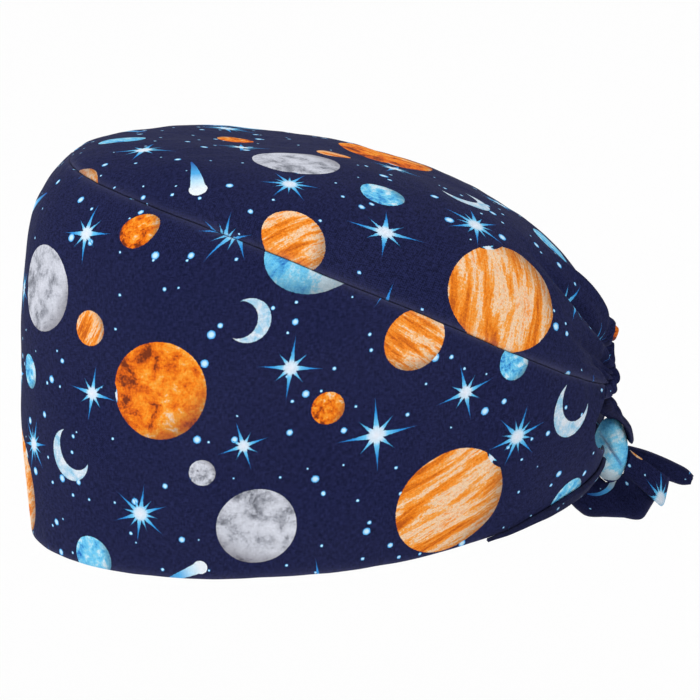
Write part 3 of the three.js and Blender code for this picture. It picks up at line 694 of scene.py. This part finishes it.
# Crown: the soft top panel of the same cotton, eased and sewn to the band's upper edge and gathered at
# the back by the elastic, from which its folds fan out.
CROWN_ROLL = 0.8
side_turns = np.linspace(-ARCH_TURN, ARCH_TURN, 300)
arch_turns = np.linspace(ARCH_TURN, 360 - ARCH_TURN, 162)[1:-1]
crown_turn = np.concatenate([side_turns, np.where(arch_turns > 180, arch_turns - 360, arch_turns)])
crown_low = crown_edge(crown_turn)
crown_step = reach_of(1.0, crown_low, crown_turn)
crown_low = crown_low + SEAM_EDGE * crown_step
crown_rows = []
for share in np.linspace(0.995, 0.02, 40):
    crown_rows.append((mix(crown_low, TOP_REACH, share), CLOTH, 1))
crown_rows.append((crown_low + 0.8 * crown_step, CLOTH + 0.1, 1))
crown_rows.append((crown_low + 0.3 * crown_step, CLOTH + 0.35, 1))
for angle_share in np.linspace(90, 0, 6):
    tip = np.radians(angle_share)
    up, deep = CROWN_ROLL * (1 - np.sin(tip)), CROWN_ROLL * (1 - np.cos(tip))
    crown_rows.append((crown_low + up * crown_step, deep, 0))
rolled, last_ring = crown_low + CROWN_ROLL * crown_step, np.full_like(crown_low, 11.97)
for share in np.linspace(0, 1, 84)[1:-1]:
    crown_rows.append((mix(rolled, last_ring, share), 0.0, 0))
crown_reach = np.stack([row[0] for row in crown_rows])
crown_depth = np.stack([np.full_like(crown_low, row[1]) for row in crown_rows])
crown_turns = np.broadcast_to(crown_turn, crown_reach.shape)


def crown_cloth(reach, turn):
    """Places on the flat panel: the length of cloth from the top, in the direction of the turn."""
    far = length_up(np.full_like(reach, TOP_REACH), turn) - length_up(reach, turn)
    return np.stack([far * np.sin(np.radians(turn)), -far * np.cos(np.radians(turn))], -1)


crown_top = cloth_point(np.array([11.99]), np.array([0.0]), np.array([0.0]))[0]
crown = make_piece(
    "crown_cloth",
    cloth_point(crown_reach, crown_turns, crown_depth),
    crown_cloth(crown_reach, crown_turns),
    [printed_cotton("crown_print", shift=(110.0, 90.0), slant=180.0),
     printed_cotton("crown_reverse", shift=(110.0, 90.0), slant=180.0, strike=0.8)],
    finish=[row[2] for row in crown_rows],
    wear_and_shade=np.exp(-np.abs(crown_reach - crown_low) / crown_step / 1.2),
    ring=True,
    loop=False,
    poles=([crown_top - [0, 0, CLOTH], crown_top], [(0.0, 0.0), (0.0, 0.0)]),
)
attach(crown, "root")
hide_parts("crown")


# Back casing: the hem over the opening, turned over a flat elastic that gathers it into small puffs. Its
# upper edge is tucked under the crown's and stitched to it, and its ends meet the band's rear edges.
CASING_THICKNESS, CASING_SWELL, CASING_INNER_SWELL = 2.4, 0.8, 0.4
CASING_FULLNESS, CASING_FLAT_WIDTH = 1.6, 11.0

# At its ends, in degrees of turn: the slant and where it starts, then how far the tucked edge spreads
# for each mm that it is tucked, and where that starts
CASING_SLANT, SLANT_SPAN, CASING_SPREAD, SPREAD_SPAN = 2.7, 7.0, 0.8, 3.0
foot_turn = mix(ARCH_TURN, 180.0, 0.01)
around = np.linspace(foot_turn, 360 - foot_turn, 300)
casing_turn = np.where(around > 180, around - 360, around)
casing_top = crown_edge(casing_turn)
casing_top = casing_top - 0.12 * reach_of(1.0, casing_top, casing_turn)
casing_low = OPENING_REACH + OPENING_RISE * arch_rise(casing_turn)
casing_rows = []
for share in np.linspace(0, 1, 16):
    edge = np.sqrt(np.clip(1 - (2 * share - 1) ** 6, 0, 1))
    swollen = -CASING_SWELL * (1 - (2 * share - 1) ** 2)
    casing_rows.append((share, mix(0.55 * CASING_THICKNESS, swollen, edge), 0.0))
for up, deep in ((0.8, 1.45), (2.0, 1.5), (2.2, 1.75), (2.0, 2.0), (0.8, 2.1)):
    casing_rows.append((1.0, deep, up))
for share in np.linspace(0.97, 0.03, 10):
    edge = np.sqrt(np.clip(1 - (2 * share - 1) ** 6, 0, 1))
    deep = CASING_THICKNESS + CASING_INNER_SWELL * (1 - (2 * share - 1) ** 2)
    casing_rows.append((share, mix(0.55 * CASING_THICKNESS, deep, edge), 0.0))
casing_share, casing_depth, casing_tuck = np.array(casing_rows).T[:, :, None]
casing_reach = mix(casing_low[None, :], casing_top[None, :], casing_share)
casing_reach = casing_reach + casing_tuck * reach_of(1.0, casing_top, casing_turn)
casing_slant = CASING_SLANT * smooth_step((foot_turn + SLANT_SPAN - casing_turn) / SLANT_SPAN)
casing_slant = casing_slant * (casing_turn > 0)
casing_spread = smooth_step((foot_turn + SPREAD_SPAN - np.abs(casing_turn)) / SPREAD_SPAN)
casing_spread = CASING_SPREAD * casing_spread * np.sign(casing_turn)
casing_turns = casing_turn - (1 - casing_share) * casing_slant - casing_tuck * casing_spread
gathered_length = np.concatenate([[0], np.cumsum(np.linalg.norm(
    np.diff(form_point(SEAM_REACH, casing_turn), axis=0), axis=1))]) * CASING_FULLNESS
casing_places = np.stack([
    np.broadcast_to(gathered_length, casing_reach.shape),
    np.broadcast_to(casing_share * CASING_FLAT_WIDTH, casing_reach.shape)], -1)
back_casing = make_piece(
    "back_casing_cloth",
    cloth_point(casing_reach, casing_turns, casing_depth * np.ones_like(casing_reach)),
    casing_places,
    [printed_cotton("casing_print", shift=(10.0, 96.0), motifs=0.0)],
    wear_and_shade=0.5 * np.exp(-casing_share * 8) * np.ones_like(casing_reach),
)
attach(back_casing, "root")
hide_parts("back_casing")


# Tie straps: on each side a strip of the cotton, folded in four and sewn over the rear rim, that comes
# out of the rim behind the ear and is drawn together where it meets the knot.
STRAP_START, STRAP_END, STRAP_WIDTH = 124.0, turn_aside(0.0, TIE_ASIDE + 1.2), 7.5
STRAP_DRAWN, STRAP_RAISED, STRAP_PRINT_LENGTH = 0.4, 0.7, 92.0
for side, strap_name in ((1, "tie_strap_left"), (-1, "tie_strap_right")):
    strap_turn = np.linspace(STRAP_START, STRAP_END, 120)
    along = (strap_turn - STRAP_START) / (STRAP_END - STRAP_START)
    width = STRAP_WIDTH * mix(0.15, 1.0, smooth_step(along / 0.5))
    strap_turn = strap_turn * side
    step = reach_of(1.0, 0.0, strap_turn)
    drawn = STRAP_DRAWN * smooth_step((along - 0.88) / 0.12)
    strap_low = (0.55 * drawn * width - 0.4) * step
    width = width * (1 - drawn)
    section = []
    for share in np.linspace(0, 1, 13):
        section.append((share, 0.3 + 1.3 * (1 - (2 * share - 1) ** 12) ** 0.5 + 0.5 * share))
    for share in np.linspace(0.96, 0.04, 7):
        section.append((share, 0.3))
    shares = np.array([s[0] for s in section])[:, None]
    lifts = np.array([s[1] for s in section])[:, None]
    strap_reach = strap_low + shares * width * step
    strap_turns = np.broadcast_to(strap_turn, strap_reach.shape)
    strap_lift = lifts + 0.18 * ripple(form_point(strap_reach, strap_turns), 7.0, 21) * (lifts > 0.4)
    strap_lift = strap_lift + STRAP_RAISED * smooth_step((along - 0.92) / 0.08)
    strap_points = cloth_point(strap_reach, strap_turns, -strap_lift)
    strap_length = np.broadcast_to(along * STRAP_PRINT_LENGTH, strap_reach.shape)
    strap_places = np.stack([strap_length, np.broadcast_to(shares * width, strap_reach.shape)], -1)
    if side < 0:
        strap_points, strap_places = strap_points[:, ::-1], strap_places[:, ::-1]
    # deep darkens the strap's colour: painted shade, for the strap lies under the rim.
    strap = make_piece(
        strap_name + "_cloth", strap_points, strap_places,
        [printed_cotton(
            strap_name + "_print", shift=(60.0, 40.0 + 20 * side), slant=12.0, motifs=0.0, deep=0.4)],
        wear_and_shade=0.6 * (np.abs(2 * shares - 1) ** 6) * np.ones_like(strap_reach))
    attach(strap, "root")
    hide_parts(strap_name)


# Knot: the wrap of the overhand knot at the middle of the back, an upright bulge of folded cotton that
# is drawn tight, with a slanting crease on each side.
KNOT_WIDTH, KNOT_DEPTH, KNOT_HEIGHT = 20.0, 13.4, 26.0
CREASE_DEPTH, CREASE_LIP, KNOT_PRINT_SCALE = 1.6, 0.9, 0.62
KNOT_BACK, KNOT_DROP = 4.2, 2.0
knot_middle = form_point(1.0, 180.0) + np.array([0.0, KNOT_BACK, -KNOT_DROP])
knot_share = np.cos(np.pi * np.arange(1, 64) / 64)[:, None]
knot_angle = np.linspace(0, 2 * np.pi, 121)[:-1][None, :]
knot_flat = np.sqrt(1 - knot_share**2)
knot_back, knot_up = knot_flat * np.cos(knot_angle), knot_flat * np.sin(knot_angle)
off_crease = (knot_up + 0.75 * knot_back - 0.1) / 0.07
crease_reach = smooth_step((0.9 - knot_back) / 0.5)
in_crease = np.exp(-(off_crease**2))
knot_crease = CREASE_DEPTH * in_crease - CREASE_LIP * np.exp(-(((off_crease - 3.4) / 2.4) ** 2))
knot_crease = knot_crease * np.abs(knot_share) ** 1.2 * crease_reach
knot_aside = knot_share * KNOT_WIDTH / 2 - np.sign(knot_share) * knot_crease
pleats = 0.14 * np.cos(knot_share * 15 + 1.5 * np.sin(knot_angle)) * knot_flat * (1 - np.abs(knot_share) ** 3)
knot_points = knot_middle + np.stack([
    -knot_aside,
    knot_back * (KNOT_DEPTH / 2 + pleats),
    knot_up * (KNOT_HEIGHT / 2 + pleats)], -1)
knot_places = KNOT_PRINT_SCALE * np.stack([knot_back * KNOT_DEPTH, knot_up * KNOT_HEIGHT], -1)
# The knot's wear_and_shade is slight wear, plus painted shade: a dark line along each crease, where the fold
# would lie in shade.
knot = make_piece(
    "tie_knot_cloth", knot_points, knot_places,
    [printed_cotton("knot_print", shift=(184.0, 140.0), slant=25.0)],
    wear_and_shade=0.05 + 3.5 * in_crease * np.abs(knot_share) * crease_reach,
    loop=False, ring=True,
    poles=([knot_middle - [KNOT_WIDTH / 2, 0, 0], knot_middle + [KNOT_WIDTH / 2, 0, 0]],
           [(0.0, 0.0), (0.0, 0.0)]))
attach(knot, "root")
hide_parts("tie_knot")


# Loop: the strand of the tie that comes over the top of the knot and down its back, of the cotton folded
# into a strip, flattened by the pull and rounded at both ends.
LOOP_WIDTH, LOOP_THICKNESS, TIE_GAP, LOOP_ROOT, LOOP_STEPS = 13.0, 6.0, 0.4, 2.6, 60
LOOP = np.array([
    [96, 0.95, 0.8, 0.8], [90, 0.04, 0.88, 0.84], [66, 0, 1, 0.34], [38, 0, 1, 0.38], [14, 0, 0.95, 0.3],
])


def around_knot(degrees, out, aside):
    """A point round the knot as seen from its side: 0 degrees is its back, 90 its top."""
    flat = np.sqrt(np.maximum(1 - (aside / (KNOT_WIDTH / 2)) ** 2, 0.25))
    back, up = np.cos(np.radians(degrees)), np.sin(np.radians(degrees))
    away = unit(np.stack([0 * back, back / KNOT_DEPTH, up / KNOT_HEIGHT], -1))
    place = np.stack([aside + 0 * back, back * flat * KNOT_DEPTH / 2, up * flat * KNOT_HEIGHT / 2], -1)
    return knot_middle + place + away * out[..., None]


loop_row, loop_step = np.linspace(0, 4, LOOP_STEPS), np.arange(LOOP_STEPS)
loop_table = table_at(LOOP, loop_row)
loop_half = loop_table[:, 3] * LOOP_THICKNESS / 2
loop_out = np.maximum(loop_table[:, 1], 0) * LOOP_THICKNESS + loop_half + TIE_GAP
loop_path = around_knot(loop_table[:, 0], loop_out, 0 * loop_out)
loop_ahead = unit(np.gradient(loop_path, axis=0))
loop_away = unit(np.cross(np.array([1.0, 0, 0]), loop_ahead))
loop_root = LOOP_ROOT * smooth_step((1.3 - loop_row) / 1.1)
from_end = np.clip(np.minimum((loop_step + 0.3) / 9, (LOOP_STEPS - 0.5 - loop_step) / 4), 0, 1)
loop_tip = np.sqrt(1 - (1 - from_end) ** 2)
loop_half, loop_root = loop_half * loop_tip, loop_root * loop_tip
loop_round = np.linspace(0, 2 * np.pi, 49)[:-1][:, None]
loop_cos, loop_sin = np.cos(loop_round), np.sin(loop_round)
loop_ripple = 0.32 * np.cos(4.5 * np.pi * loop_cos + 0.6) * np.abs(loop_sin)
loop_points = (
    loop_path[None] + (loop_sin * loop_half * (1 + loop_ripple))[..., None] * loop_away[None]
    - (np.maximum(-loop_sin, 0) * loop_root)[..., None] * loop_away[None]
    - (loop_cos * LOOP_WIDTH / 2 * loop_table[None, :, 2] * loop_tip)[..., None] * np.array([1.0, 0, 0]))
loop_length = np.concatenate([[0], np.cumsum(np.linalg.norm(np.diff(loop_path, axis=0), axis=1))])
loop_places = np.stack([
    (loop_cos * LOOP_WIDTH / 2) * np.ones_like(loop_points[..., 0]),
    np.broadcast_to(loop_length, loop_points.shape[:2])], -1)
# deep darkens the loop's colour: painted shade.
tie_loop = make_piece(
    "tie_loop_cloth", loop_points, loop_places,
    [printed_cotton("loop_print", shift=(30.0, 76.0), motifs=0.0, deep=0.2)],
    wear_and_shade=0.5 * np.abs(loop_cos) ** 8 * np.ones(loop_points.shape[:2]))
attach(tie_loop, "root")
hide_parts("tie_loop")


def cloth_sheet(grid, thickness, round_steps=4):
    """The section rows of a free sheet with rounded edges, from a grid of points on its middle."""
    around_row, up_row = np.gradient(grid, axis=1), np.gradient(grid, axis=0)
    normal = unit(np.cross(around_row, up_row))
    outward = unit(up_row)
    rows, shares = [], []
    for i in range(grid.shape[0]):
        rows.append(grid[i] + normal[i] * thickness / 2)
        shares.append(i)
    for angle_share in np.linspace(90, -90, round_steps + 2)[1:-1]:
        tip = np.radians(angle_share)
        rows.append(grid[-1] + (normal[-1] * np.sin(tip) + outward[-1] * np.cos(tip)) * thickness / 2)
        shares.append(grid.shape[0] - 1)
    for i in range(grid.shape[0] - 1, -1, -1):
        rows.append(grid[i] - normal[i] * thickness / 2)
        shares.append(i)
    for angle_share in np.linspace(-90, 90, round_steps + 2)[1:-1]:
        tip = np.radians(angle_share)
        rows.append(grid[0] + (normal[0] * np.sin(tip) - outward[0] * np.cos(tip)) * thickness / 2)
        shares.append(0)
    return np.stack(rows), np.array(shares)


# Left tail: the wide free end of the left tie, one layer of the cotton opened out below and behind the
# knot, with a pleat across it and a paler, worn edge.
TAIL_LENGTH, TAIL_CLOTH = 22.8, 1.1
TAIL_LEFT = np.array([
    [0, 0.1, 0.99, -0.45, 0.3], [-16, 0.18, 0.94, -0.66, 0.38], [-32, 0.25, 0.88, -0.86, 0.42],
    [-48, 0.12, 0.74, -0.9, 0.14], [-66, 0.14, 0.55, -1.19, 0.16], [-90, 0.2, 0.12, -1.13, 0.24],
    [-110, 0.18, -0.35, -1.13, 0.26], [-126, 0.12, -0.56, -1.02, 0.2], [-140, 0.08, -0.74, -0.85, 0.12],
])
left_table = table_at(TAIL_LEFT, np.linspace(0, 8, 110))
left_aside = left_table[:, 1] * TAIL_LENGTH - 5.0 * smooth_step((-left_table[:, 0] - 36) / 20)
left_root = around_knot(left_table[:, 0], np.full(110, 0.8), left_aside)
left_tip = knot_middle + left_table[:, [4, 2, 3]] * TAIL_LENGTH
left_share = np.linspace(0, 1, 44)[None, :, None]
left_grid = mix(left_root[:, None], left_tip[:, None], left_share)
left_row = np.linspace(0, 8, 110)[:, None]
left_grid[..., 0] += 0.5 * left_share[..., 0] * np.sin(1.9 * left_row)
left_grid[..., 0] -= 2.2 * np.exp(-(((left_row - 2.75) / 0.28) ** 2)) * smooth_step(left_share[..., 0] / 0.5)
left_grid[..., 0] += 1.1 * np.exp(-(((left_row - 2.2) / 0.3) ** 2)) * smooth_step(left_share[..., 0] / 0.4)
left_grid[..., 0] += 0.8 * np.sin(2.4 * left_row + 3.0 * left_share[..., 0]) * (1 - left_share[..., 0])
left_rows, left_index = cloth_sheet(left_grid, TAIL_CLOTH)
left_down = np.concatenate([[0], np.cumsum(np.linalg.norm(np.diff(left_grid[:, 30], axis=0), axis=1))])
left_places = np.stack([
    np.broadcast_to(left_share[0, :, 0] * TAIL_LENGTH * 1.1, left_rows.shape[:2]),
    np.broadcast_to(left_down[left_index][:, None], left_rows.shape[:2])], -1)
# deep darkens the tail's colour: painted shade.
tail_left = make_piece(
    "tie_tail_left_cloth", left_rows, left_places,
    [printed_cotton("tail_left_print", shift=(20.0, 116.0), slant=-20.0, deep=0.15)],
    wear_and_shade=0.7 * np.exp(-(1 - left_share[0, :, 0]) * 16) * np.ones(left_rows.shape[:2]))
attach(tail_left, "root")
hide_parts("tie_tail_left")


# Right tail: the free end of the right tie, narrow because it is twisted on itself, pointing back and
# down to its rounded tip.
TAIL_REACH = 34.0
TAIL_RIGHT = np.array([
    [0.185, -0.12, -0.12, 0.12], [0.38, -0.195, -0.16, 0.13], [0.58, -0.275, -0.19, 0.125],
    [0.74, -0.325, -0.21, 0.1], [0.89, -0.39, -0.22, 0.085], [0.985, -0.43, -0.22, 0.04],
])
right_table = table_at(TAIL_RIGHT, np.linspace(0, 5, 80)) * TAIL_REACH
right_across = np.linspace(1, -1, 32)[:, None]
right_half = right_table[None, :, 3]
right_grid = knot_middle + np.stack([
    right_table[None, :, 2] + 0.12 * right_half * np.cos(np.pi * right_across)
    + 0.25 * np.sin(7 * right_across),
    right_table[None, :, 0] + 0.3 * right_half * right_across,
    right_table[None, :, 1] + right_half * right_across], -1)
right_rows, right_index = cloth_sheet(right_grid, TAIL_CLOTH)
right_along = np.linspace(0, TAIL_REACH * 1.05, 80)
right_places = np.stack([
    np.broadcast_to(right_along, right_rows.shape[:2]),
    np.broadcast_to((right_across[right_index] * 5.0), right_rows.shape[:2])], -1)
# deep darkens the tail's colour: painted shade.
tail_right = make_piece(
    "tie_tail_right_cloth", right_rows, right_places,
    [printed_cotton("tail_right_print", shift=(60.0, 60.0), slant=8.0, motifs=0.0, deep=0.3)],
    wear_and_shade=0.6 * np.abs(right_across[right_index]) ** 8 * np.ones(right_rows.shape[:2]))
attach(tail_right, "root")
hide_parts("tie_tail_right")


# Floor and light: a plain near-white floor well below the cap, an even white room, and one broad, soft
# light from above the forehead on the camera's side.
FLOOR_HALF, FLOOR_LEVEL = 40.0, -0.3
floor_mesh = bpy.data.meshes.new("floor")
corner_signs = ((-1, -1), (1, -1), (1, 1), (-1, 1))
floor_corners = [(FLOOR_HALF * x, FLOOR_HALF * y, FLOOR_LEVEL) for x, y in corner_signs]
floor_mesh.from_pydata(floor_corners, [], [(0, 1, 2, 3)])
floor = bpy.data.objects.new("floor", floor_mesh)
bpy.context.scene.collection.objects.link(floor)
floor_material = bpy.data.materials.new("floor")
floor_material.use_nodes = True
floor_shader = floor_material.node_tree.nodes["Principled BSDF"]
floor_shader.inputs["Base Color"].default_value = (0.97, 0.97, 0.97, 1)
floor_shader.inputs["Roughness"].default_value = 0.9
floor_shader.inputs["Specular IOR Level"].default_value = 0.1
floor_mesh.materials.append(floor_material)

world = bpy.data.worlds.new("room")
world.use_nodes = True
world.node_tree.nodes["Background"].inputs["Color"].default_value = (1, 1, 1, 1)
world.node_tree.nodes["Background"].inputs["Strength"].default_value = 0.75
bpy.context.scene.world = world

sun_data = bpy.data.lights.new("soft_key", "SUN")
sun_data.energy = 1.15
sun_data.angle = math.radians(26)
sun = bpy.data.objects.new("soft_key", sun_data)
sun.rotation_euler = Vector((-0.55, 0.55, -0.9)).to_track_quat("-Z", "Y").to_euler()
bpy.context.scene.collection.objects.link(sun)

bpy.context.scene.view_settings.view_transform = "Standard"
